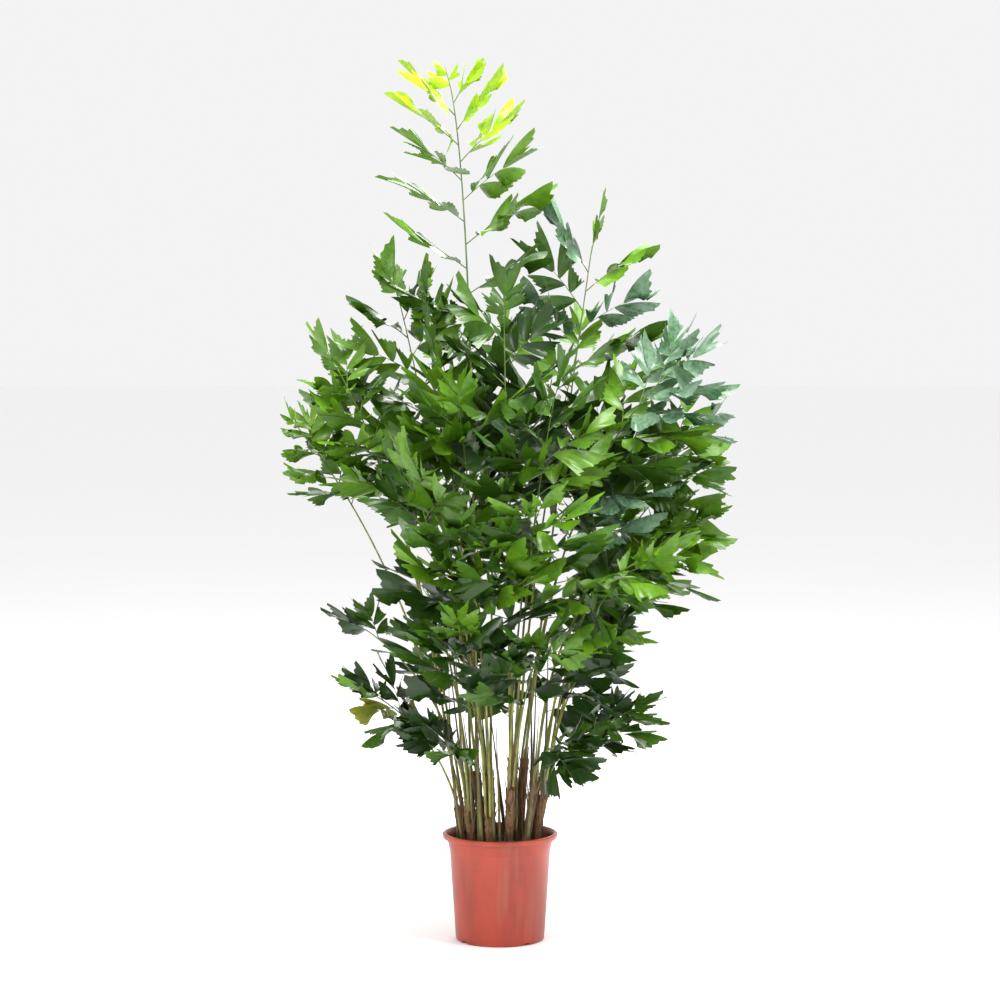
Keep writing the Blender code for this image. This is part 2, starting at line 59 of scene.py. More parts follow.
# The pot: injection-moulded polypropylene, with a rolled lip, a stepped collar that stiffens the rim,
# and four drain notches moulded into its foot. Handling has left dust and pale scuffs on it.
POT_SIDES = 128
POT_HEIGHT = 0.300
POT_WALL = 0.0028
LIP_RADIUS = 0.160
LIP_DEPTH = 0.0155
LIP_ROUND = 0.0042
LIP_ROOT = 0.003  # from the collar out to the lip's flat underside
LIP_ROOT_RISES = (0.002, 0.0005)  # of that run's two ends over the underside
MOUTH_DROPS = (0.0004, 0.003)  # of the mouth's eased edge under the pot's top
COLLAR_RADIUS = 0.1485
COLLAR_FOOT_RADIUS = 0.1425
COLLAR_DEPTH = 0.042
COLLAR_STEP = 0.004
STEP_BEVEL = (0.0006, 0.0008)  # in and down
BODY_RADIUS = 0.1405
FOOT_RADIUS = 0.1235
FOOT_ROUND = 0.0045
FOOT_ARC_END = -8.0  # degrees, where the slanting wall takes over
ARC_POINTS = 6
NOTCH_COUNT = 4
NOTCH_SIDES = 24
NOTCH_FIRST = -143.0  # degrees from +X towards +Y
NOTCH_WIDTH = 0.030
NOTCH_HEIGHT = 0.007
NOTCH_DEPTH = 0.008
POT_RED = (0.36, 0.040, 0.016, 1.0)
POT_DARK = (0.24, 0.026, 0.012, 1.0)
POT_DUST = (0.38, 0.15, 0.10, 1.0)


class Value:
    """A number that varies over a surface. Arithmetic on it adds the Math nodes."""

    def __init__(self, finish, socket):
        self.finish = finish
        self.socket = socket

    def maths(self, operation, other):
        made = self.finish.node("ShaderNodeMath", {"operation": operation}, {0: self, 1: other})
        return Value(self.finish, made.outputs[0])

    def __add__(self, other):
        return self.maths("ADD", other)

    __radd__ = __add__

    def __mul__(self, other):
        return self.maths("MULTIPLY", other)

    __rmul__ = __mul__


class Finish:
    """One procedural material, built node by node on a Principled shader."""

    def __init__(self, name, roughness, specular=0.5):
        self.material = bpy.data.materials.new(name)
        self.material.use_nodes = True
        self.tree = self.material.node_tree
        self.shader = self.tree.nodes["Principled BSDF"]
        self.shader.inputs["Roughness"].default_value = roughness
        self.shader.inputs["Specular IOR Level"].default_value = specular

    def node(self, kind, settings, sockets):
        """A node of a kind, with its settings made first and then its sockets' values or links."""
        made = self.tree.nodes.new(kind)
        for key, value in settings.items():
            setattr(made, key, value)
        for key, value in sockets.items():
            self.feed(made.inputs[key], value)
        return made

    def feed(self, socket, value):
        """Gives a socket a value, or a link where the value varies."""
        if isinstance(value, Value):
            value = value.socket
        if isinstance(value, bpy.types.NodeSocket):
            self.tree.links.new(value, socket)
        else:
            socket.default_value = value

    def noise(self, scale, detail=3.0, stretch=(1.0, 1.0, 1.0)):
        """A cloudy pattern in the object's own space, drawn out along the axes that stretch makes small."""
        spot = self.node("ShaderNodeTexCoord", {}, {}).outputs["Object"]
        spot = self.node("ShaderNodeVectorMath", {"operation": "MULTIPLY"}, {0: spot, 1: stretch}).outputs[0]
        sockets = {"Vector": spot, "Scale": scale, "Detail": detail, "Roughness": 0.55}
        return Value(self, self.node("ShaderNodeTexNoise", {}, sockets).outputs["Fac"])

    def between(self, value, low, high):
        """0 where value is under low, 1 where it is over high."""
        sockets = {"Value": value, "From Min": low, "From Max": high}
        return Value(self, self.node("ShaderNodeMapRange", {"clamp": True}, sockets).outputs["Result"])

    def mix(self, mask, colour, other):
        """The first colour where the mask is 0, and the other one where it is 1."""
        sockets = {0: mask, 6: colour, 7: other}
        return self.node("ShaderNodeMix", {"data_type": "RGBA"}, sockets).outputs[2]

    def colour(self, value):
        self.feed(self.shader.inputs["Base Color"], value)

    def rough(self, value):
        self.feed(self.shader.inputs["Roughness"], value)

    def bump(self, height, distance, strength=1.0):
        sockets = {"Height": height, "Distance": distance, "Strength": strength}
        self.feed(self.shader.inputs["Normal"], self.node("ShaderNodeBump", {}, sockets).outputs["Normal"])


def around(degrees, radius, height=0.0):
    """The place at a heading and a distance from the upright axis."""
    angle = math.radians(degrees)
    return Vector((radius * math.cos(angle), radius * math.sin(angle), height))


def arc(middle, radius, start, stop):
    """Points (r, z) of a round stretch of a turned profile."""
    angles = [math.radians(start + (stop - start) * k / (ARC_POINTS - 1)) for k in range(ARC_POINTS)]
    return [(middle[0] + radius * math.cos(a), middle[1] + radius * math.sin(a)) for a in angles]


def pot_profile():
    """The pot's section (r, z): out under its floor, up its wall, over the lip and down inside."""
    collar_foot = POT_HEIGHT - COLLAR_DEPTH
    step_foot = collar_foot - COLLAR_STEP
    lip_foot = POT_HEIGHT - LIP_DEPTH
    lip_root = COLLAR_RADIUS + LIP_ROOT
    lip_middle = LIP_RADIUS - LIP_ROUND
    return [
        (0.0, 0.0),
        *arc((FOOT_RADIUS - FOOT_ROUND, FOOT_ROUND), FOOT_ROUND, -90.0, FOOT_ARC_END),
        (BODY_RADIUS, step_foot),
        (COLLAR_FOOT_RADIUS - STEP_BEVEL[0], collar_foot - STEP_BEVEL[1]),
        (COLLAR_FOOT_RADIUS, collar_foot),
        (COLLAR_RADIUS, lip_foot + LIP_ROOT_RISES[0]),
        (lip_root, lip_foot + LIP_ROOT_RISES[1]),
        *arc((lip_middle, lip_foot + LIP_ROUND), LIP_ROUND, -90.0, 0.0),
        *arc((lip_middle, POT_HEIGHT - LIP_ROUND), LIP_ROUND, 0.0, 90.0),
        (lip_root, POT_HEIGHT - MOUTH_DROPS[0]),
        (COLLAR_RADIUS, POT_HEIGHT - MOUTH_DROPS[1]),
        (COLLAR_RADIUS - POT_WALL, lip_foot),
        (BODY_RADIUS - POT_WALL, step_foot),
        (FOOT_RADIUS - POT_WALL, POT_WALL),
        (0.0, POT_WALL),
    ]


def turned(profile, sides):
    """Vertices and faces of a closed profile turned round Z. Its first and last points are on the axis."""
    vertices = [(0.0, 0.0, profile[0][1])]
    for radius, height in profile[1:-1]:
        vertices += [tuple(around(360.0 * k / sides, radius, height)) for k in range(sides)]
    vertices.append((0.0, 0.0, profile[-1][1]))
    last_ring = 1 + (len(profile) - 3) * sides
    faces = []
    for k in range(sides):
        after = (k + 1) % sides
        faces.append((0, 1 + after, 1 + k))
        for low in range(1, last_ring, sides):
            faces.append((low + k, low + after, low + sides + after, low + sides + k))
        faces.append((last_ring + k, last_ring + after, len(vertices) - 1))
    return vertices, faces


def place_mesh(name, vertices, faces, finish, sharp=None):
    """A mesh object in the scene, smooth but for edges over the sharp angle."""
    mesh = bpy.data.meshes.new(name)
    mesh.from_pydata(vertices, [], faces)
    mesh.materials.append(finish.material)
    mesh.shade_smooth()
    if sharp is not None:
        mesh.set_sharp_from_angle(angle=math.radians(sharp))
    piece = bpy.data.objects.new(name, mesh)
    bpy.context.scene.collection.objects.link(piece)
    return piece


def cut_notch(pot, heading):
    """Takes a half-round drain notch out of the pot's foot."""
    bpy.ops.mesh.primitive_cylinder_add(vertices=NOTCH_SIDES, radius=0.5, depth=2.0 * NOTCH_DEPTH)
    cutter = bpy.context.active_object
    cutter.data.transform(Matrix.Rotation(math.radians(90.0), 4, "Y"))
    cutter.scale = (1.0, NOTCH_WIDTH, 2.0 * NOTCH_HEIGHT)
    cutter.rotation_euler = (0.0, 0.0, math.radians(heading))
    cutter.location = around(heading, FOOT_RADIUS)
    cut = pot.modifiers.new("notch", "BOOLEAN")
    cut.operation = "DIFFERENCE"
    cut.object = cutter
    with bpy.context.temp_override(object=pot, active_object=pot, selected_objects=[pot]):
        bpy.ops.object.modifier_apply(modifier=cut.name)
    bpy.data.objects.remove(cutter, do_unlink=True)


pot_finish = Finish("moulded_red_plastic", roughness=0.42)
mottle = pot_finish.noise(9.0, 4.0, stretch=(1.0, 1.0, 0.5))
streaks = pot_finish.noise(26.0, stretch=(1.0, 1.0, 0.08))
specks = pot_finish.noise(240.0, 2.0)
rubs = pot_finish.noise(34.0, 5.0, stretch=(0.5, 0.5, 1.4))
dust = pot_finish.between(streaks * 0.6 + mottle * 0.5, 0.60, 0.74)
scuffs = pot_finish.between(specks * 0.35 + rubs * 0.75, 0.68, 0.78)
red = pot_finish.mix(pot_finish.between(mottle, 0.42, 0.66), POT_RED, POT_DARK)
dusty_red = pot_finish.mix(dust * 0.30, red, POT_DUST)
pot_finish.colour(pot_finish.mix(scuffs * 0.35, dusty_red, POT_DUST))
pot_finish.rough(0.36 + dust * 0.22 + scuffs * 0.12)
pot_finish.bump(specks * 0.5 + mottle * 0.5, distance=0.0004, strength=0.5)

pot = place_mesh("nursery_pot", *turned(pot_profile(), POT_SIDES), pot_finish, sharp=50.0)
for k in range(NOTCH_COUNT):
    cut_notch(pot, NOTCH_FIRST + k * 360.0 / NOTCH_COUNT)
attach(pot, "root")
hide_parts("pot")

# The potting soil: dark peat, crumbled and watered down to a low crown, with bark crumbs and a few white
# grains of perlite lying loose on it.
SOIL_RADIUS = 0.1405
SOIL_EDGE = 0.2745
SOIL_TOP = 0.281
SOIL_RINGS = 44
SOIL_SIDES = 176
CLOD_SCALE = 60.0
CLOD_HEIGHT = 0.0028
GRIT_SCALE = 190.0
GRIT_HEIGHT = 0.0016
CRUMB_COUNT = 620
PERLITE_COUNT = 46
CRUMB_EDGE_GAP = 0.004  # from the pot's wall
CRUMB_STAND = 0.25  # share of its size that a crumb's middle is over the soil
CRUMB_UNEVENNESS = (0.7, 1.2)
CRUMB_CORNERS = ((1, 0, 0), (-1, 0, 0), (0, 0.8, 0), (0, -0.8, 0), (0, 0, 0.5), (0, 0, -0.5))
CRUMB_SIDES = ((0, 2, 4), (2, 1, 4), (1, 3, 4), (3, 0, 4), (2, 0, 5), (1, 2, 5), (3, 1, 5), (0, 3, 5))
PEAT = (0.030, 0.021, 0.015, 1.0)
PEAT_LIGHT = (0.085, 0.055, 0.034, 1.0)
BARK = (0.045, 0.028, 0.018, 1.0)
BARK_LIGHT = (0.14, 0.085, 0.05, 1.0)
PERLITE_GREY = (0.42, 0.40, 0.36, 1.0)
PERLITE_WHITE = (0.75, 0.73, 0.68, 1.0)


def soil_height(x, y):
    """The soil's surface: a low crown with clods and grit."""
    share = min(1.0, math.hypot(x, y) / SOIL_RADIUS)
    clods = noise.noise(Vector((x, y, 0.0)) * CLOD_SCALE) * CLOD_HEIGHT
    grit = noise.noise(Vector((x, y, 3.0)) * GRIT_SCALE) * GRIT_HEIGHT
    return SOIL_EDGE + (SOIL_TOP - SOIL_EDGE) * (1.0 - share**3) + (clods + grit)


def soil_mesh():
    """Vertices and faces of the soil's surface, in rings from its middle to the pot's wall."""
    vertices = [(0.0, 0.0, soil_height(0.0, 0.0))]
    for ring in range(1, SOIL_RINGS + 1):
        for k in range(SOIL_SIDES):
            spot = around(360.0 * k / SOIL_SIDES, SOIL_RADIUS * ring / SOIL_RINGS)
            vertices.append((spot.x, spot.y, soil_height(spot.x, spot.y)))
    faces = []
    for k in range(SOIL_SIDES):
        after = (k + 1) % SOIL_SIDES
        faces.append((0, 1 + k, 1 + after))
        for ring in range(SOIL_RINGS - 1):
            low = 1 + ring * SOIL_SIDES
            high = low + SOIL_SIDES
            faces.append((low + k, high + k, high + after, low + after))
    return vertices, faces


def crumbs(name, count, sizes, finish, seed):
    """Loose angular grains lying on the soil, as one mesh."""
    dice = random.Random(seed)
    vertices, faces = [], []
    for _ in range(count):
        spot = around(dice.uniform(0.0, 360.0), (SOIL_RADIUS - CRUMB_EDGE_GAP) * math.sqrt(dice.random()))
        size = dice.uniform(*sizes)
        angle = dice.uniform(0.0, 6.28)
        axis = Vector([dice.uniform(-1.0, 1.0) for _ in range(3)])
        turn = Matrix.Rotation(angle, 3, axis)
        middle = Vector((spot.x, spot.y, soil_height(spot.x, spot.y) + CRUMB_STAND * size))
        first = len(vertices)
        for corner in CRUMB_CORNERS:
            vertices.append(tuple(middle + turn @ (Vector(corner) * size * dice.uniform(*CRUMB_UNEVENNESS))))
        faces += [(first + a, first + b, first + c) for a, b, c in CRUMB_SIDES]
    piece = place_mesh(name, vertices, faces, finish, sharp=20.0)
    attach(piece, "root")


soil_finish = Finish("peat", roughness=0.95, specular=0.2)
crumble = soil_finish.noise(120.0, 5.0)
soil_finish.colour(soil_finish.mix(soil_finish.between(crumble, 0.45, 0.70), PEAT, PEAT_LIGHT))
soil_finish.bump(crumble, distance=0.003)
soil = place_mesh("potting_soil", *soil_mesh(), soil_finish)
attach(soil, "root")
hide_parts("soil")

bark_finish = Finish("bark_crumbs", roughness=0.9, specular=0.2)
bark_finish.colour(bark_finish.mix(bark_finish.noise(160.0), BARK, BARK_LIGHT))
crumbs("bark_crumbs", CRUMB_COUNT, (0.0012, 0.0042), bark_finish, seed=21)
perlite_finish = Finish("perlite", roughness=0.85, specular=0.3)
perlite_finish.colour(perlite_finish.mix(perlite_finish.noise(300.0, 2.0), PERLITE_GREY, PERLITE_WHITE))
crumbs("perlite_grains", PERLITE_COUNT, (0.0010, 0.0022), perlite_finish, seed=22)

# The canes: short stems wrapped in the fibrous bases of old leaf sheaths, which split into brown strips
# and fray at their ends. They stand in two rings and lean a little outwards.
CANE_RINGS = (
    # canes, ring radius, first heading in degrees, lowest and highest top above the ground, lean per metre
    (6, 0.050, 0.0, 0.46, 0.53, 0.10),
    (12, 0.103, 12.0, 0.33, 0.46, 0.22),
)
CANE_LAYOUT_SEED = 7
CANE_FOOT = 0.2833
CANE_SINK = 0.006  # into the soil
CANE_HEADING_JITTER = 5.0
CANE_RING_JITTER = 0.06
CANE_RADIUS = 0.0112
CANE_FOOT_RADIUS = 0.0150
CANE_FOOT_SHARE = 0.25  # of a cane's height, over which its swollen foot thins
CANE_SIDES = 28
CANE_STEPS = 64
CANE_SEED = 300
CANE_CROWN = 0.004  # height of the closed top over the frayed edge's middle
RIDGE_PITCH = 0.12  # steps of the pattern for each degree round the cane
RIDGE_DEPTH = 0.0013
FRAY_PITCH = 0.3
FRAY_HEIGHT = 0.012
SHEATHS_PER_CANE = 5
SHEATH_EDGE = 0.0010
SHEATH_FLARE_SHARE = 0.16  # of a cane's height, over which a sheath flares to its end
STRIPS_PER_CANE = 26
STRIP_SEED = 500
STRIP_STEPS = 5
STRIP_STAND = 0.0018  # off the cane at its root
STRIP_TWIST = 14.0  # degrees round the cane, from root to end
STRIP_TAPER = 0.85  # share of its width that it loses
SHEATH_BROWN = (0.045, 0.022, 0.010, 1.0)
SHEATH_TAN = (0.17, 0.095, 0.045, 1.0)
SHEATH_GREEN = (0.12, 0.12, 0.03, 1.0)
STRIP_BROWN = (0.07, 0.035, 0.015, 1.0)
STRIP_STRAW = (0.26, 0.16, 0.08, 1.0)


class Cane(NamedTuple):
    """A cane's name, its foot, the middle of its top and whether it is in the inner ring."""

    name: str
    foot: Vector
    top: Vector
    inner: bool


def lay_out_canes():
    """The canes of both rings, each leaning a little outwards."""
    dice = random.Random(CANE_LAYOUT_SEED)
    rows = []
    for ring, (count, radius, first, low, high, lean) in enumerate(CANE_RINGS):
        for k in range(count):
            heading = first + 360.0 * k / count + dice.uniform(-CANE_HEADING_JITTER, CANE_HEADING_JITTER)
            off_ring = dice.uniform(1.0 - CANE_RING_JITTER, 1.0 + CANE_RING_JITTER)
            foot = around(heading, radius * off_ring, CANE_FOOT)
            height = dice.uniform(low, high)
            top = foot + around(heading, lean * (height - foot.z), height - foot.z)
            rows.append(Cane(f"cane_{len(rows) + 1:02d}", foot, top, ring == 0))
    return rows


def band(low, sides):
    """Faces between the ring of vertices that starts at number low and the ring after it."""
    afters = [(k + 1) % sides for k in range(sides)]
    return [(low + k, low + after, low + sides + after, low + sides + k) for k, after in enumerate(afters)]


def cap(low, sides, tip):
    """Faces from the ring of vertices that starts at number low to the vertex beyond it."""
    return [(low + k, low + (k + 1) % sides, tip) for k in range(sides)]


def cane_radius(share, sheath_ends):
    """A swollen foot, and a flare wherever an old sheath ends."""
    radius = CANE_FOOT_RADIUS + (CANE_RADIUS - CANE_FOOT_RADIUS) * min(1.0, share / CANE_FOOT_SHARE) ** 0.7
    for end in sheath_ends:
        if share < end:
            radius += SHEATH_EDGE * max(0.0, 1.0 - (end - share) / SHEATH_FLARE_SHARE)
    return radius


def cane_mesh():
    """Vertices and faces of all the canes: ribbed lengthwise, and frayed round their tops."""
    vertices, faces = [], []
    for number, cane in enumerate(canes):
        dice = random.Random(CANE_SEED + number)
        sheath_ends = [dice.uniform(0.08, 0.9) for _ in range(SHEATHS_PER_CANE)]
        buried_foot = cane.foot - Vector((0.0, 0.0, CANE_SINK))
        first = len(vertices)
        for step in range(CANE_STEPS + 1):
            share = step / CANE_STEPS
            middle = buried_foot.lerp(cane.top, share)
            radius = cane_radius(share, sheath_ends)
            fray = FRAY_HEIGHT if step == CANE_STEPS else 0.0
            for k in range(CANE_SIDES):
                angle = 360.0 * k / CANE_SIDES
                ridge = noise.noise(Vector((angle * RIDGE_PITCH, share * 3.0, number * 7.0))) * RIDGE_DEPTH
                ragged = noise.noise(Vector((angle * FRAY_PITCH, 5.0, number * 3.0))) * fray
                vertices.append(tuple(middle + around(angle, radius + ridge, ragged)))
        for step in range(CANE_STEPS):
            faces += band(first + step * CANE_SIDES, CANE_SIDES)
        vertices.append(tuple(cane.top + Vector((0.0, 0.0, CANE_CROWN))))
        faces += cap(first + CANE_STEPS * CANE_SIDES, CANE_SIDES, len(vertices) - 1)
    return vertices, faces


def strip_mesh():
    """Vertices and faces of the torn strips of sheath, which curl away from the canes."""
    vertices, faces = [], []
    for number, cane in enumerate(canes):
        dice = random.Random(STRIP_SEED + number)
        for _ in range(STRIPS_PER_CANE):
            heading = dice.uniform(0.0, 360.0)
            share = dice.uniform(0.05, 0.95)
            length = dice.uniform(0.03, 0.085)
            width = dice.uniform(0.0016, 0.0042)
            flare = dice.uniform(0.002, 0.016)
            root = cane.foot.lerp(cane.top, share)
            side = around(heading + 90.0, 1.0)
            first = len(vertices)
            for j in range(STRIP_STEPS + 1):
                step = j / STRIP_STEPS
                out = CANE_RADIUS + STRIP_STAND + flare * step**2
                middle = root + around(heading + STRIP_TWIST * step, out, length * step)
                half = side * (width * (1.0 - STRIP_TAPER * step))
                vertices += [tuple(middle - half), tuple(middle + half)]
            for j in range(first, first + 2 * STRIP_STEPS, 2):
                faces.append((j, j + 1, j + 3, j + 2))
    return vertices, faces


canes = lay_out_canes()
sheath_finish = Finish("fibrous_sheath", roughness=0.85, specular=0.25)
fibre = sheath_finish.noise(150.0, 4.0, stretch=(1.0, 1.0, 0.06))
patches = sheath_finish.noise(28.0, stretch=(1.0, 1.0, 0.5))
brown = sheath_finish.mix(sheath_finish.between(fibre, 0.35, 0.68), SHEATH_BROWN, SHEATH_TAN)
sheath_finish.colour(sheath_finish.mix(sheath_finish.between(patches, 0.56, 0.72) * 0.6, brown, SHEATH_GREEN))
sheath_finish.bump(fibre, distance=0.0012)
cane_piece = place_mesh("sheathed_canes", *cane_mesh(), sheath_finish)
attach(cane_piece, "root")
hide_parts(*[cane.name for cane in canes])

strip_finish = Finish("frayed_sheath_strips", roughness=0.9, specular=0.2)
strip_grain = strip_finish.noise(90.0, stretch=(1.0, 1.0, 0.1))
strip_finish.colour(strip_finish.mix(strip_grain, STRIP_BROWN, STRIP_STRAW))
strips = place_mesh("sheath_strips", *strip_mesh(), strip_finish)
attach(strips, "root")

# The frond stalks: each petiole leaves its cane upright, yellow-green and streaked, arches over a shoulder
# and runs on as the blade's rachis. They are living stems, grown from the tops of the canes.
SEAT_GAP = 0.0003
SEATS_OFFSET = 0.0062  # from the middle of a cane's top, where it carries more than one frond
SEATS_PER_CANE = 3
SEAT_TAKEN_STRAIN = 0.55  # for each frond that a cane carries already
WRONG_RING_STRAIN = 1.2
TALL_FROND = 1.45  # higher fronds belong on the inner ring
BOW_INWARD = 0.35
BOW_UPWARD = 0.25
STALK_FOOT_RADIUS = 0.0048
STALK_TIP_RADIUS = 0.0015
STALK_SIDES = 8
STALK_STEPS = 36
PETIOLE_OLIVE = (0.075, 0.085, 0.013, 1.0)
PETIOLE_YELLOW = (0.30, 0.31, 0.045, 1.0)
RACHIS_GREEN = (0.055, 0.11, 0.02, 1.0)
RACHIS_LIGHT = (0.17, 0.24, 0.04, 1.0)


class Frond(NamedTuple):
    """One frond, told by where its rachis ends and how it gets there."""

    name: str
    heading: float  # degrees from +X towards +Y
    reach: float  # of the rachis tip from the pot's axis
    height: float  # of the rachis tip above the ground
    bow: float  # 0 for straight, 1 for arching over
    bare: float  # share of the stalk below the first spray
    sprays: int  # of the plain solid, which has fewer than the plant
    spray_length: float
    roll: float  # degrees that the blade is turned about its stalk
    lift: float  # degrees that the sprays stand up from the blade, less than 0 where they hang


FRONDS = (
    Frond("frond_tall", 178.0, 0.135, 2.360, 1.30, 0.46, 14, 0.25, -70.0, 16.0),
    Frond("frond_upper_right", 21.0, 0.275, 1.930, 0.10, 0.52, 10, 0.30, 80.0, 5.0),
    Frond("frond_upper_left", 172.0, 0.285, 1.790, 0.35, 0.50, 9, 0.25, -60.0, 0.0),
    Frond("frond_left_front", 208.0, 0.215, 1.730, 0.20, 0.50, 8, 0.25, -40.0, 0.0),
    Frond("frond_centre_front", 275.0, 0.120, 1.740, 0.25, 0.50, 8, 0.25, -10.0, 0.0),
    Frond("frond_centre_back", 85.0, 0.260, 1.660, 0.40, 0.48, 8, 0.25, 50.0, 0.0),
    Frond("frond_crown_right", 342.0, 0.490, 1.590, 0.90, 0.48, 10, 0.27, 65.0, -15.0),
    Frond("frond_back_right", 52.0, 0.360, 1.640, 0.50, 0.48, 8, 0.25, 40.0, 0.0),
    Frond("frond_back_left", 117.0, 0.360, 1.600, 0.50, 0.48, 8, 0.25, -40.0, 0.0),
    Frond("frond_crown_left", 190.0, 0.450, 1.590, 0.60, 0.62, 8, 0.22, -40.0, 5.0),
    Frond("frond_front_right", 297.0, 0.320, 1.520, 0.50, 0.52, 8, 0.25, 15.0, -10.0),
    Frond("frond_front_left", 248.0, 0.290, 1.480, 0.45, 0.52, 8, 0.25, 0.0, -10.0),
    Frond("frond_far_left", 185.0, 0.565, 1.440, 0.55, 0.74, 7, 0.15, -35.0, 0.0),
    Frond("frond_right", 352.0, 0.560, 1.440, 1.00, 0.50, 9, 0.26, 60.0, -15.0),
    Frond("frond_right_low", 345.0, 0.530, 1.170, 0.90, 0.62, 6, 0.20, 50.0, -10.0),
    Frond("frond_right_front", 320.0, 0.480, 1.080, 1.20, 0.55, 7, 0.24, 30.0, -15.0),
    Frond("frond_front", 283.0, 0.440, 1.220, 0.80, 0.50, 8, 0.24, 0.0, -10.0),
    Frond("frond_front_lower", 258.0, 0.420, 1.160, 0.80, 0.50, 8, 0.24, 0.0, -10.0),
    Frond("frond_left_bend", 234.0, 0.400, 1.320, 0.60, 0.56, 7, 0.22, -20.0, 0.0),
    Frond("frond_left_back", 163.0, 0.420, 1.480, 0.50, 0.64, 7, 0.20, -30.0, 5.0),
    Frond("frond_back_bend_left", 122.0, 0.470, 1.280, 0.70, 0.48, 8, 0.25, -45.0, -10.0),
    Frond("frond_back", 92.0, 0.480, 1.360, 0.70, 0.48, 8, 0.25, 45.0, -10.0),
    Frond("frond_back_bend_right", 55.0, 0.480, 1.260, 0.70, 0.48, 8, 0.25, 45.0, -10.0),
    Frond("frond_back_mid_right", 40.0, 0.420, 1.040, 0.70, 0.50, 7, 0.23, -40.0, -10.0),
    Frond("frond_back_mid_left", 134.0, 0.370, 1.050, 0.70, 0.50, 7, 0.20, 40.0, -10.0),
    Frond("frond_right_back", 12.0, 0.560, 1.320, 0.90, 0.54, 8, 0.24, 55.0, -15.0),
    Frond("frond_low_right", 336.0, 0.330, 0.880, 0.70, 0.50, 6, 0.20, 30.0, -10.0),
    Frond("frond_low_right_tip", 352.0, 0.350, 0.640, 0.60, 0.60, 5, 0.14, 40.0, 0.0),
    Frond("frond_low_front_right", 290.0, 0.330, 0.860, 0.70, 0.50, 6, 0.20, 0.0, -10.0),
    Frond("frond_low_front_left", 252.0, 0.320, 0.880, 0.70, 0.50, 6, 0.20, 0.0, -10.0),
    Frond("frond_low_left", 198.0, 0.365, 0.700, 0.70, 0.60, 5, 0.15, -35.0, 0.0),
    Frond("frond_low_left_back", 171.0, 0.380, 0.860, 0.70, 0.62, 5, 0.16, -35.0, 0.0),
    Frond("frond_low_back_left", 115.0, 0.380, 0.820, 0.70, 0.50, 6, 0.20, 0.0, -10.0),
    Frond("frond_low_back_right", 62.0, 0.380, 0.780, 0.70, 0.50, 6, 0.20, 0.0, -10.0),
    Frond("frond_young_right", 318.0, 0.230, 0.570, 1.30, 0.50, 5, 0.19, 30.0, -25.0),
    Frond("frond_young_left", 218.0, 0.215, 0.600, 1.10, 0.45, 5, 0.16, -20.0, -20.0),
    Frond("frond_young_back", 84.0, 0.220, 0.620, 0.90, 0.44, 4, 0.15, 0.0, -10.0),
)


def strain(cane, frond, taken):
    """How badly a frond would sit on a cane: turned away, crowded or on the wrong ring."""
    turn = around(frond.heading, 1.0).angle(Vector((cane.top.x, cane.top.y, 0.0)))
    wrong_ring = cane.inner != (frond.height > TALL_FROND)
    return turn + SEAT_TAKEN_STRAIN * taken + (WRONG_RING_STRAIN if wrong_ring else 0.0)


def seat_fronds():
    """Gives each frond a cane near its heading: tall ones first, then the others from the lowest up."""
    carried = {cane.name: [] for cane in canes}
    for frond in sorted(FRONDS, key=lambda frond: 0.0 if frond.height > TALL_FROND else frond.height):
        free = [cane for cane in canes if len(carried[cane.name]) < SEATS_PER_CANE]
        best = min(free, key=lambda cane: strain(cane, frond, len(carried[cane.name])))
        carried[best.name].append(frond)
    return carried


def frond_feet():
    """The middle of each stalk's foot, just over its cane's top."""
    feet = {}
    carried = seat_fronds()
    for cane in canes:
        fronds = sorted(carried[cane.name], key=lambda frond: frond.heading)
        if len(fronds) == 1:
            feet[fronds[0].name] = cane.top + Vector((0.0, 0.0, SEAT_GAP))
            continue
        step = 360.0 / max(len(fronds), 1)
        errors = [around(frond.heading - k * step, 1.0) for k, frond in enumerate(fronds)]
        mean = sum(errors, Vector((0.0, 0.0, 0.0)))
        first = math.degrees(math.atan2(mean.y, mean.x))
        for k, frond in enumerate(fronds):
            feet[frond.name] = cane.top + around(first + k * step, SEATS_OFFSET, SEAT_GAP)
    return feet


def on_curve(foot, shoulder, tip, t):
    """A place on the curve that leaves its foot towards a shoulder and bends over to its tip."""
    return foot * (1 - t) ** 2 + shoulder * (2 * t * (1 - t)) + tip * t**2


class Stalk:
    """A frond's petiole and rachis: a curve from its foot over a shoulder to its tip."""

    def __init__(self, frond, foot):
        self.frond = frond
        self.foot = foot
        self.tip = around(frond.heading, frond.reach, frond.height)
        across = Vector((self.tip.x - foot.x, self.tip.y - foot.y, 0.0))
        rise = Vector((0.0, 0.0, self.tip.z - foot.z))
        inward = 0.5 - BOW_INWARD * frond.bow
        upward = 0.5 + BOW_UPWARD * frond.bow
        self.shoulder = foot + across * inward + rise * upward

    def point(self, t):
        return on_curve(self.foot, self.shoulder, self.tip, t)

    def tangent(self, t):
        return ((self.shoulder - self.foot) * (1 - t) + (self.tip - self.shoulder) * t).normalized()

    def radius(self, t):
        return STALK_FOOT_RADIUS + (STALK_TIP_RADIUS - STALK_FOOT_RADIUS) * t**0.6

    def frame(self, t):
        """Unit vectors along the stalk, across the blade and out of its upper face."""
        along = self.tangent(t)
        level = around(self.frond.heading + 90.0, 1.0)
        across = (level - along * level.dot(along)).normalized()
        across = Matrix.Rotation(math.radians(self.frond.roll), 3, along) @ across
        return along, across, along.cross(across)


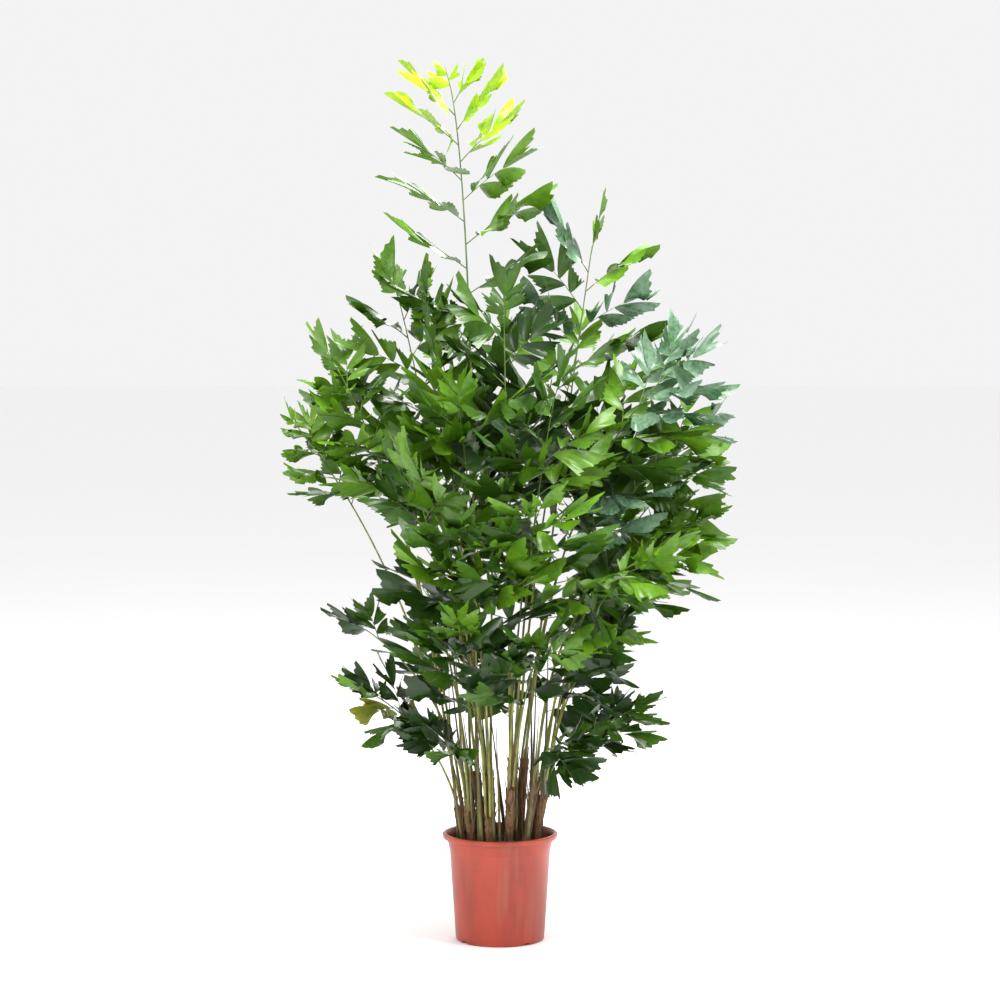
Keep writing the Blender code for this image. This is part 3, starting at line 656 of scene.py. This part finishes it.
def tube(points, radii, frames, sides, vertices, faces):
    """Adds an open-ended tapering tube, closed to a point at its tip, to a mesh's lists."""
    first = len(vertices)
    for middle, radius, (across, up) in zip(points, radii, frames):
        for k in range(sides):
            angle = 2.0 * math.pi * k / sides
            corner = across * (radius * math.cos(angle)) + up * (radius * math.sin(angle))
            vertices.append(tuple(middle + corner))
    for ring in range(len(points) - 1):
        faces += band(first + ring * sides, sides)
    vertices.append(tuple(points[-1]))
    faces += cap(first + (len(points) - 1) * sides, sides, len(vertices) - 1)


def stalk_tubes(stretches):
    """Vertices and faces of one stretch of each stalk, given by the shares at its two ends."""
    vertices, faces = [], []
    for stalk, (low, high) in zip(stalks, stretches):
        shares = [low + (high - low) * k / STALK_STEPS for k in range(STALK_STEPS + 1)]
        points = [stalk.point(t) for t in shares]
        radii = [stalk.radius(t) for t in shares]
        tube(points, radii, [stalk.frame(t)[1:] for t in shares], STALK_SIDES, vertices, faces)
    return vertices, faces


def stem_finish(name, dark, light, roughness):
    """A living stem: fine lengthwise streaks between two greens."""
    finish = Finish(name, roughness)
    streak = finish.noise(130.0, stretch=(1.0, 1.0, 0.12))
    finish.colour(finish.mix(finish.between(streak, 0.35, 0.7), dark, light))
    finish.bump(streak, distance=0.0005, strength=0.6)
    return finish


feet = frond_feet()
stalks = [Stalk(frond, feet[frond.name]) for frond in FRONDS]
petiole_finish = stem_finish("yellow_green_petiole", PETIOLE_OLIVE, PETIOLE_YELLOW, roughness=0.42)
petioles = stalk_tubes([(0.0, frond.bare) for frond in FRONDS])
petiole_piece = place_mesh("petioles", *petioles, petiole_finish)
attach(petiole_piece, "root")

rachis_finish = stem_finish("green_rachis", RACHIS_GREEN, RACHIS_LIGHT, roughness=0.45)
rachises = stalk_tubes([(frond.bare, 1.0) for frond in FRONDS])
rachis_piece = place_mesh("rachises", *rachises, rachis_finish)
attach(rachis_piece, "root")
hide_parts(*[frond.name for frond in FRONDS])

# The young shoots: thin upright suckers that crowd between the canes, each a furled sheath with a folded
# spear leaf on its way up. They grow from the roots and make the clump's foot look so full of stems.
SHOOT_COUNT = 22
SHOOT_SEED = 41
SHOOT_SIDES = 8
SHOOT_STEPS = 20
SHOOT_CLUMP_RADIUS = 0.125
SHOOT_STRAY = 50.0  # degrees that a shoot leans off its own heading
SHOOT_BULGE = 0.012
SHOOT_TAPER = 0.85
SHOOT_COLLARS = 6
SHOOT_COLLAR_SWELL = 0.22
SHOOT_COLLARS_END = 0.6  # share of the shoot's length
SHOOT_BROWN = (0.055, 0.035, 0.014, 1.0)
SHOOT_OLIVE = (0.15, 0.14, 0.030, 1.0)


def shoot_radius(t, thickness):
    """Tapers to the spear's tip, with a swollen collar at the foot of each sheath round its lower part."""
    swell = SHOOT_COLLAR_SWELL * (1.0 - (SHOOT_COLLARS * t) % 1.0) if t < SHOOT_COLLARS_END else 0.0
    return thickness * (1.0 - SHOOT_TAPER * t) * (1.0 + swell)


def shoot_mesh():
    """Vertices and faces of all the shoots, each leaning its own way and bulging a little outwards."""
    dice = random.Random(SHOOT_SEED)
    shares = [k / SHOOT_STEPS for k in range(SHOOT_STEPS + 1)]
    level = [(Vector((1.0, 0.0, 0.0)), Vector((0.0, 1.0, 0.0)))] * len(shares)
    vertices, faces = [], []
    for _ in range(SHOOT_COUNT):
        heading = dice.uniform(0.0, 360.0)
        foot = around(heading, SHOOT_CLUMP_RADIUS * math.sqrt(dice.random()), SOIL_EDGE)
        height = dice.uniform(0.30, 0.62)
        lean_heading = heading + dice.uniform(-SHOOT_STRAY, SHOOT_STRAY)
        tip = foot + around(lean_heading, dice.uniform(0.02, 0.09), height)
        bulge = foot.lerp(tip, 0.5) + around(heading, SHOOT_BULGE)
        thickness = dice.uniform(0.0038, 0.0062)
        middles = [on_curve(foot, bulge, tip, t) for t in shares]
        radii = [shoot_radius(t, thickness) for t in shares]
        tube(middles, radii, level, SHOOT_SIDES, vertices, faces)
    return vertices, faces


shoot_finish = stem_finish("olive_shoot", SHOOT_BROWN, SHOOT_OLIVE, roughness=0.6)
shoot_piece = place_mesh("young_shoots", *shoot_mesh(), shoot_finish)
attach(shoot_piece, "root")

# The sprays: side branches of each blade, whose ribs sag under two rows of leaflets and a forked one at the
# tip. Leaflets are thin stiff blades, each a lopsided wedge bitten off ragged at its end, like a fish's
# tail. Few sprays live in the crown's shaded middle, so the stalks show there, and none cross its openings.
SPRAY_SEED = 100
SPRAY_SHARE = 1.30  # sprays for each one of the plain solid
TALL_SPRAY_SHARE = 1.0
LAST_SPRAY = 0.985  # share of the stalk's length
FOOT_SPREAD = 62.0  # degrees off the stalk at the blade's foot
TIP_SPREAD = 36.0
END_SPRAY_SPREAD = 4.0
END_SPRAY_SHARE = 0.85
SPRAY_LIFT_JITTER = 12.0
SPRAY_SAG = 0.16
LEVEL_SHARE = 0.70  # of the sprays, which hold their blades nearly level
LEVEL_ROLL = 18.0  # degrees, as a standard deviation
WILD_ROLL = 80.0  # degrees either way, for the other sprays
EDGE_ON_ROLL = 14.0  # degrees either way, for the tall frond's left sprays
SHADE_RADIUS = 0.25
SHADE_HEIGHT = 1.25
SHADE_LOSS = 0.5  # share of the sprays that are missing there
SKY = (
    # x and z of the middle of an opening in the crown, seen from the front, and its radius
    (-0.40, 1.10, 0.13),
    (-0.32, 1.00, 0.08),
    (0.36, 0.74, 0.06),
    (0.56, 0.98, 0.09),
    (-0.30, 0.80, 0.05),
)
RIB_SHARE = 0.72  # of the spray's length, which the tip leaflet makes up
RIB_STEPS = 5
RIB_OUTER_STEP = 3  # the step where a spray's colour and place are judged
RIB_RADIUS = 0.0017
RIB_TAPER = 0.6
RIB_SIDES = 4
LEAF_RAYS = 13
LEAF_STATIONS = (0.0, 0.16, 0.36, 0.58, 0.80, 1.0)
LEAFLET_LENGTH = 0.156
FULL_SPRAY_LENGTH = 0.22
MEAN_SPRAY_LENGTH = 0.25  # for which LEAFLET_LENGTH is given
FIRST_LEAFLET = 0.24  # share of the rib
LAST_LEAFLET = 0.80
REAR_ANGLE = 62.0  # degrees off the rib, for a leaflet at the rib's foot
ANGLE_LOSS = 22.0  # degrees, from the rib's foot to its end
ANGLE_JITTER = 9.0
LEAFLET_TWIST = 20.0  # degrees, as a standard deviation
LEAFLET_BULK = 0.7  # share of its length where most of a leaflet's width is
BLADE_FOOT_WIDTH = 0.09
REAR_REACH = 0.56  # of a leaflet's short side against its long one
FORK_REACH = 0.70  # of a tip leaflet's middle against its sides
FORK_DEPTH = 0.16
TOOTH_DEPTHS = (0.01, 0.06)
CORNER_TOOTH = 0.02
SPLIT_DEPTHS = (0.08, 0.20)
PLEAT_DEPTH = 0.0011
CUPPING = (0.05, 0.30)
BENDING = (0.0, 0.15)
SWING = 0.10
RIPPLE = 0.05
RIPPLE_TURN = 7.0
DROOP = (-0.04, 0.26)
BOX_SLACK = 0.001
TRIAL_SHRINKS = (1.0, 0.85, 0.7, 0.55, 0.4)
LEAF_COLOURS = {
    # colour of the blade, its lighter streaks, and its roughness; the lit, half-lit and shade greens are
    # painted light and shade, and the sheen colours a painted reflection
    "lime": ((0.20, 0.40, 0.006, 1.0), (0.42, 0.60, 0.012, 1.0), 0.40),
    "painted_lit": ((0.055, 0.150, 0.005, 1.0), (0.120, 0.260, 0.010, 1.0), 0.34),
    "mid": ((0.022, 0.070, 0.004, 1.0), (0.052, 0.130, 0.007, 1.0), 0.30),
    "painted_shade": ((0.008, 0.028, 0.003, 1.0), (0.020, 0.058, 0.005, 1.0), 0.32),
    "painted_sheen": ((0.035, 0.105, 0.035, 1.0), (0.17, 0.27, 0.18, 1.0), 0.22),
    "yellowed": ((0.12, 0.16, 0.010, 1.0), (0.28, 0.27, 0.025, 1.0), 0.5),
}
LIME_ABOVE = 2.17
# Above this most of the tall frond's blades get the painted lit green.
TALL_LIT_ABOVE = 1.85
TALL_LIT_SHARE = 0.8
# The painted sheen: a blue-white colour that stands in for light shining off the blades of these fronds and
# of the crown's upper right.
SHEEN_FRONDS = ("frond_upper_right", "frond_crown_right")
SHEEN_SHARE = 0.50
SHEEN_RIGHT_OF = 0.25
SHEEN_ABOVE = 1.35
SHEEN_CORNER_SHARE = 0.3
YELLOWED_BELOW = 0.85
YELLOWED_SHARE = 0.035
# Painted light and shade: a spray's green lightens with its height and its reach from the crown's middle, and
# darkens inwards and downwards where shade falls.
LIGHT_PER_RISE = 0.45
LIGHT_PER_REACH = 1.3
DARK_HEIGHT = 0.6
DARK_RADIUS = 0.22
LIGHT_JITTER = 0.35
BRIGHT_LIGHT = 0.52  # more painted light than this gives a spray the lit green
MID_LIGHT = 0.10  # and more than this the half-lit green, and less the painted shade green


class Spray:
    """One side branch of a frond: where its rib starts and runs, and which way its blade faces."""

    def __init__(self, base, way, face, length):
        self.base = base
        self.way = way
        self.flat = face.cross(way).normalized()
        self.face = way.cross(self.flat)
        self.length = length
        self.rib = [self.point(share) for share in np.linspace(0.0, 1.0, RIB_STEPS + 1)]

    def point(self, share):
        """The place at a share of the sagging rib."""
        drop = SPRAY_SAG * self.length * (RIB_SHARE * share) ** 2
        return self.base + self.way * (RIB_SHARE * self.length * share) - Vector((0.0, 0.0, drop))


def spray_length(frond, share):
    """Sprays are longest a third of the way along the blade and shortest at its tip."""
    swell = math.sin(math.pi * min(1.0, 1.6 * share))
    return frond.spray_length * (0.80 + 0.20 * swell - 0.25 * share**3)


def level_face(way, dice):
    """Out of the blade's upper side: to the sky for most sprays, and any way for the others."""
    sky = Vector((0.0, 0.0, 1.0))
    face = (sky - way * sky.dot(way)).normalized()
    roll = dice.gauss(0.0, LEVEL_ROLL) if dice.random() < LEVEL_SHARE else dice.uniform(-WILD_ROLL, WILD_ROLL)
    return Matrix.Rotation(math.radians(roll), 3, way) @ face


def edge_on_face(way, dice):
    """Out of the upper side of a blade that is seen edge-on from the front."""
    roll = math.radians(dice.uniform(-EDGE_ON_ROLL, EDGE_ON_ROLL))
    return Matrix.Rotation(roll, 3, way) @ way.cross(Vector((0.0, 1.0, 0.0)))


def lay_spray(stalk, number, count, dice):
    """The stalk's spray of that number out of its count, the last of which is at the stalk's tip."""
    frond = stalk.frond
    share = number / (count - 1)
    t = frond.bare + (LAST_SPRAY - frond.bare) * share
    along, across, up = stalk.frame(t)
    side = 1.0 if number % 2 else -1.0
    spread = math.radians(FOOT_SPREAD + (TIP_SPREAD - FOOT_SPREAD) * share)
    length = spray_length(frond, share) * dice.uniform(0.86, 1.04)
    if number == count - 1:
        spread = math.radians(END_SPRAY_SPREAD)
        length *= END_SPRAY_SHARE
    lift = math.radians(frond.lift + dice.uniform(-SPRAY_LIFT_JITTER, SPRAY_LIFT_JITTER))
    out = across * (side * math.cos(lift)) + up * math.sin(lift)
    way = along * math.cos(spread) + out * math.sin(spread)
    face = level_face(way, dice)
    if frond.name == "frond_tall" and way.x < 0.0 and number < count - 2:
        face = edge_on_face(way, dice)
    return Spray(stalk.point(t), way, face, length)


def in_sky(place):
    """Whether a place would cover one of the crown's openings, seen from the front."""
    return any(math.hypot(place.x - x, place.z - z) < radius for x, z, radius in SKY)


def is_missing(spray, dice):
    """Whether a spray would cover an opening, or died off in the shade."""
    outer, tip = spray.rib[RIB_OUTER_STEP], spray.rib[-1]
    shaded = math.hypot(outer.x, outer.y) < SHADE_RADIUS and outer.z < SHADE_HEIGHT
    return in_sky(outer) or in_sky(tip) or (shaded and dice.random() < SHADE_LOSS)


def leaf_finish(name, dark, light, roughness):
    """A waxy blade with fine streaks and a slight mottle."""
    finish = Finish(name, roughness, specular=0.4)
    mottle = finish.noise(14.0, 2.0)
    streak = finish.noise(85.0, 2.0)
    finish.colour(finish.mix(finish.between(mottle * 0.6 + streak * 0.4, 0.36, 0.66), dark, light))
    finish.bump(streak, distance=0.0006, strength=0.35)
    return finish


class Leaves:
    """The growing mesh of one colour of leaflet."""

    def __init__(self):
        self.points = []
        self.faces = []
        self.count = 0

    def add(self, grid):
        """Adds a blade: its grid of points, and a face between each four of them."""
        rays, stations = grid.shape[:2]
        first = self.count
        self.points.append(grid.reshape(-1, 3))
        self.count += rays * stations
        for i in range(rays - 1):
            for j in range(stations - 1):
                a = first + i * stations + j
                self.faces.append((a, a + stations, a + stations + 1, a + 1))


def leaflet(dice, base, axis, side, up, length, width, forked=False):
    """Grid of points of one blade: rays fan out from its base and end at uneven lengths."""
    u = np.linspace(0.0, 1.0, LEAF_RAYS)[:, None]
    v = np.array(LEAF_STATIONS)[None, :]
    if forked:
        reach = FORK_REACH + (1.0 - FORK_REACH) * np.abs(2.0 * u - 1.0) ** 1.3
        reach[LEAF_RAYS // 2] -= FORK_DEPTH
    else:
        reach = REAR_REACH + (1.0 - REAR_REACH) * u**1.5
    teeth = np.array([dice.uniform(*TOOTH_DEPTHS) * (1.0 if k % 2 else -1.0) for k in range(LEAF_RAYS)])
    teeth[0] = teeth[-1] = CORNER_TOOTH
    teeth[dice.randrange(3, LEAF_RAYS - 3)] -= dice.uniform(*SPLIT_DEPTHS)
    fan = BLADE_FOOT_WIDTH + (1.0 - BLADE_FOOT_WIDTH) * v**0.72 * (1.0 - 0.16 * v**2)
    x = length * (reach * v + teeth[:, None] * v**3)
    y = width * (u - 0.5) * fan
    pleat = np.where(np.arange(LEAF_RAYS) % 2 == 0, 1.0, -1.0)[:, None] * PLEAT_DEPTH * v**0.5
    cup = dice.uniform(*CUPPING) * width * (2.0 * u - 1.0) ** 2 * v
    bend = -dice.uniform(*BENDING) * length * v**2
    swing = dice.uniform(-SWING, SWING) * width * (2.0 * u - 1.0) * v
    phase = dice.uniform(0.0, 6.28)
    ripple = RIPPLE * width * np.sin(phase + RIPPLE_TURN * u) * v**2
    z = pleat + cup + bend + swing + ripple
    grid = x[..., None] * np.array(axis) + y[..., None] * np.array(side) + z[..., None] * np.array(up)
    grid[..., 2] -= dice.uniform(*DROOP) * length * v**2
    grid += np.array(base)
    return grid


def inside(grid, base):
    """The blade, drawn back towards its base where it would leave the plant's outline box."""
    low = np.array(cad_low) + BOX_SLACK
    high = np.array(cad_high) - BOX_SLACK
    for shrink in TRIAL_SHRINKS:
        trial = np.array(base) + (grid - np.array(base)) * shrink
        if (trial >= low).all() and (trial <= high).all():
            return trial
    return None


def colour_of(frond, place, dice):
    """Young growth at the top is lime, the right crown gets a painted blue-white sheen, and painted shade
    deepens inwards.
    """
    if frond.name == "frond_tall":
        if place.z > LIME_ABOVE:
            return "lime"
        return "painted_lit" if place.z > TALL_LIT_ABOVE and dice.random() < TALL_LIT_SHARE else "mid"
    # painted sheen: a reflection painted into the blades' colour
    if frond.name in SHEEN_FRONDS and dice.random() < SHEEN_SHARE:
        return "painted_sheen"
    in_sheen_corner = place.x > SHEEN_RIGHT_OF and place.z > SHEEN_ABOVE
    if in_sheen_corner and dice.random() < SHEEN_CORNER_SHARE:
        return "painted_sheen"
    if place.z < YELLOWED_BELOW and dice.random() < YELLOWED_SHARE:
        return "yellowed"
    # painted light and shade, from the spray's height and its reach out from the middle
    rise = place.z - DARK_HEIGHT
    reach = math.hypot(place.x, place.y) - DARK_RADIUS
    light = rise * LIGHT_PER_RISE + reach * LIGHT_PER_REACH + dice.uniform(-LIGHT_JITTER, LIGHT_JITTER)
    if light > BRIGHT_LIGHT:
        return "painted_lit"
    return "mid" if light > MID_LIGHT else "painted_shade"


def hang_leaflets(spray, batch, dice):
    """Adds a spray's leaflets to a batch: two or three pairs along its rib and a forked one at its tip."""
    count = 4 if spray.length < FULL_SPRAY_LENGTH else 6
    size = LEAFLET_LENGTH * (0.45 + 0.55 * spray.length / MEAN_SPRAY_LENGTH)
    for k in range(count):
        share = FIRST_LEAFLET + (LAST_LEAFLET - FIRST_LEAFLET) * k / (count - 1)
        hand = 1.0 if k % 2 else -1.0
        angle = math.radians(REAR_ANGLE - ANGLE_LOSS * share + dice.uniform(-ANGLE_JITTER, ANGLE_JITTER))
        root = spray.point(share)
        axis = (spray.way * math.cos(angle) + spray.flat * (hand * math.sin(angle))).normalized()
        twist = Matrix.Rotation(math.radians(dice.gauss(0.0, LEAFLET_TWIST)), 3, axis)
        normal = twist @ spray.face
        side = normal.cross(axis) * (-hand)
        if side.dot(spray.way) <= 0.0:
            side = -side
        length = size * dice.uniform(0.72, 1.05)
        width = length * dice.uniform(0.48, 0.68)
        grid = inside(leaflet(dice, root, axis, side, normal, length, width), root)
        if grid is not None and not in_sky(root + axis * (LEAFLET_BULK * length)):
            batch.add(grid)
    length = size * dice.uniform(0.85, 1.1)
    width = length * dice.uniform(0.70, 1.0)
    tip = spray.rib[-1]
    grid = inside(leaflet(dice, tip, spray.way, spray.flat, spray.face, length, width, forked=True), tip)
    if grid is not None:
        batch.add(grid)


leaves = {name: Leaves() for name in LEAF_COLOURS}
ribs = ([], [])
rib_radii = [RIB_RADIUS * (1.0 - RIB_TAPER * k / RIB_STEPS) for k in range(RIB_STEPS + 1)]
for number, stalk in enumerate(stalks):
    dice = random.Random(SPRAY_SEED + number)
    is_tall = stalk.frond.name == "frond_tall"
    count = round(stalk.frond.sprays * (TALL_SPRAY_SHARE if is_tall else SPRAY_SHARE))
    for k in range(count):
        spray = lay_spray(stalk, k, count, dice)
        if is_missing(spray, dice):
            continue
        tube(spray.rib, rib_radii, [(spray.flat, spray.face)] * len(spray.rib), RIB_SIDES, *ribs)
        colour = colour_of(stalk.frond, spray.rib[RIB_OUTER_STEP], dice)
        hang_leaflets(spray, leaves[colour], dice)

rib_piece = place_mesh("spray_ribs", *ribs, rachis_finish)
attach(rib_piece, "root")
for name, batch in leaves.items():
    finish = leaf_finish(f"{name}_leaf", *LEAF_COLOURS[name])
    piece = place_mesh(f"leaflets_{name}", np.concatenate(batch.points).tolist(), batch.faces, finish)
    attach(piece, "root")

# The setting: a plain pale floor, soft studio light from above, both sides and behind, and the camera at
# the photograph's height and angle.
FLOOR_RADIUS = 60.0
FLOOR_SIDES = 96
FLOOR_DROP = 0.0005
FLOOR_GREY = (0.97, 0.97, 0.97, 1.0)
FLOOR_WHITE = (0.99, 0.99, 0.99, 1.0)
WORLD_WHITE = (1.0, 1.0, 1.0, 1.0)
WORLD_STRENGTH = 0.90
CAMERA_PLACE = (0.0, -8.0, 1.75)
CAMERA_TILT = 3.735
CAMERA_LENS = 104.2


def softbox(name, place, aim, size, power):
    """A square area light aimed at a point."""
    lamp = bpy.data.lights.new(name, "AREA")
    lamp.size = size
    lamp.energy = power
    piece = bpy.data.objects.new(name, lamp)
    piece.location = place
    piece.rotation_euler = (Vector(aim) - Vector(place)).to_track_quat("-Z", "Y").to_euler()
    bpy.context.scene.collection.objects.link(piece)


floor_finish = Finish("pale_floor", roughness=0.9, specular=0.1)
floor_finish.colour(floor_finish.mix(floor_finish.noise(2.0, 2.0), FLOOR_GREY, FLOOR_WHITE))
floor_edge = [tuple(around(360.0 * k / FLOOR_SIDES, FLOOR_RADIUS, -FLOOR_DROP)) for k in range(FLOOR_SIDES)]
floor = place_mesh("floor", floor_edge, [tuple(range(FLOOR_SIDES))], floor_finish)
floor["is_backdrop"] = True

world = bpy.data.worlds.new("studio")
world.use_nodes = True
world.node_tree.nodes["Background"].inputs["Color"].default_value = WORLD_WHITE
world.node_tree.nodes["Background"].inputs["Strength"].default_value = WORLD_STRENGTH
bpy.context.scene.world = world

softbox("top_light", (0.6, -0.8, 5.2), aim=(0.0, 0.0, 1.2), size=2.2, power=330.0)
softbox("key_light", (-3.2, -4.4, 3.4), aim=(0.0, 0.0, 1.2), size=1.6, power=110.0)
softbox("right_light", (3.4, -2.2, 3.6), aim=(0.1, 0.0, 1.4), size=1.4, power=110.0)
softbox("back_light", (0.5, 4.2, 3.6), aim=(0.0, 0.0, 1.4), size=2.2, power=90.0)

camera = bpy.data.objects.new("camera", bpy.data.cameras.new("camera"))
camera.data.lens = CAMERA_LENS
camera.location = CAMERA_PLACE
camera.rotation_euler = (math.radians(90.0 - CAMERA_TILT), 0.0, 0.0)
bpy.context.scene.collection.objects.link(camera)
bpy.context.scene.camera = camera
bpy.context.scene.view_settings.view_transform = "Standard"
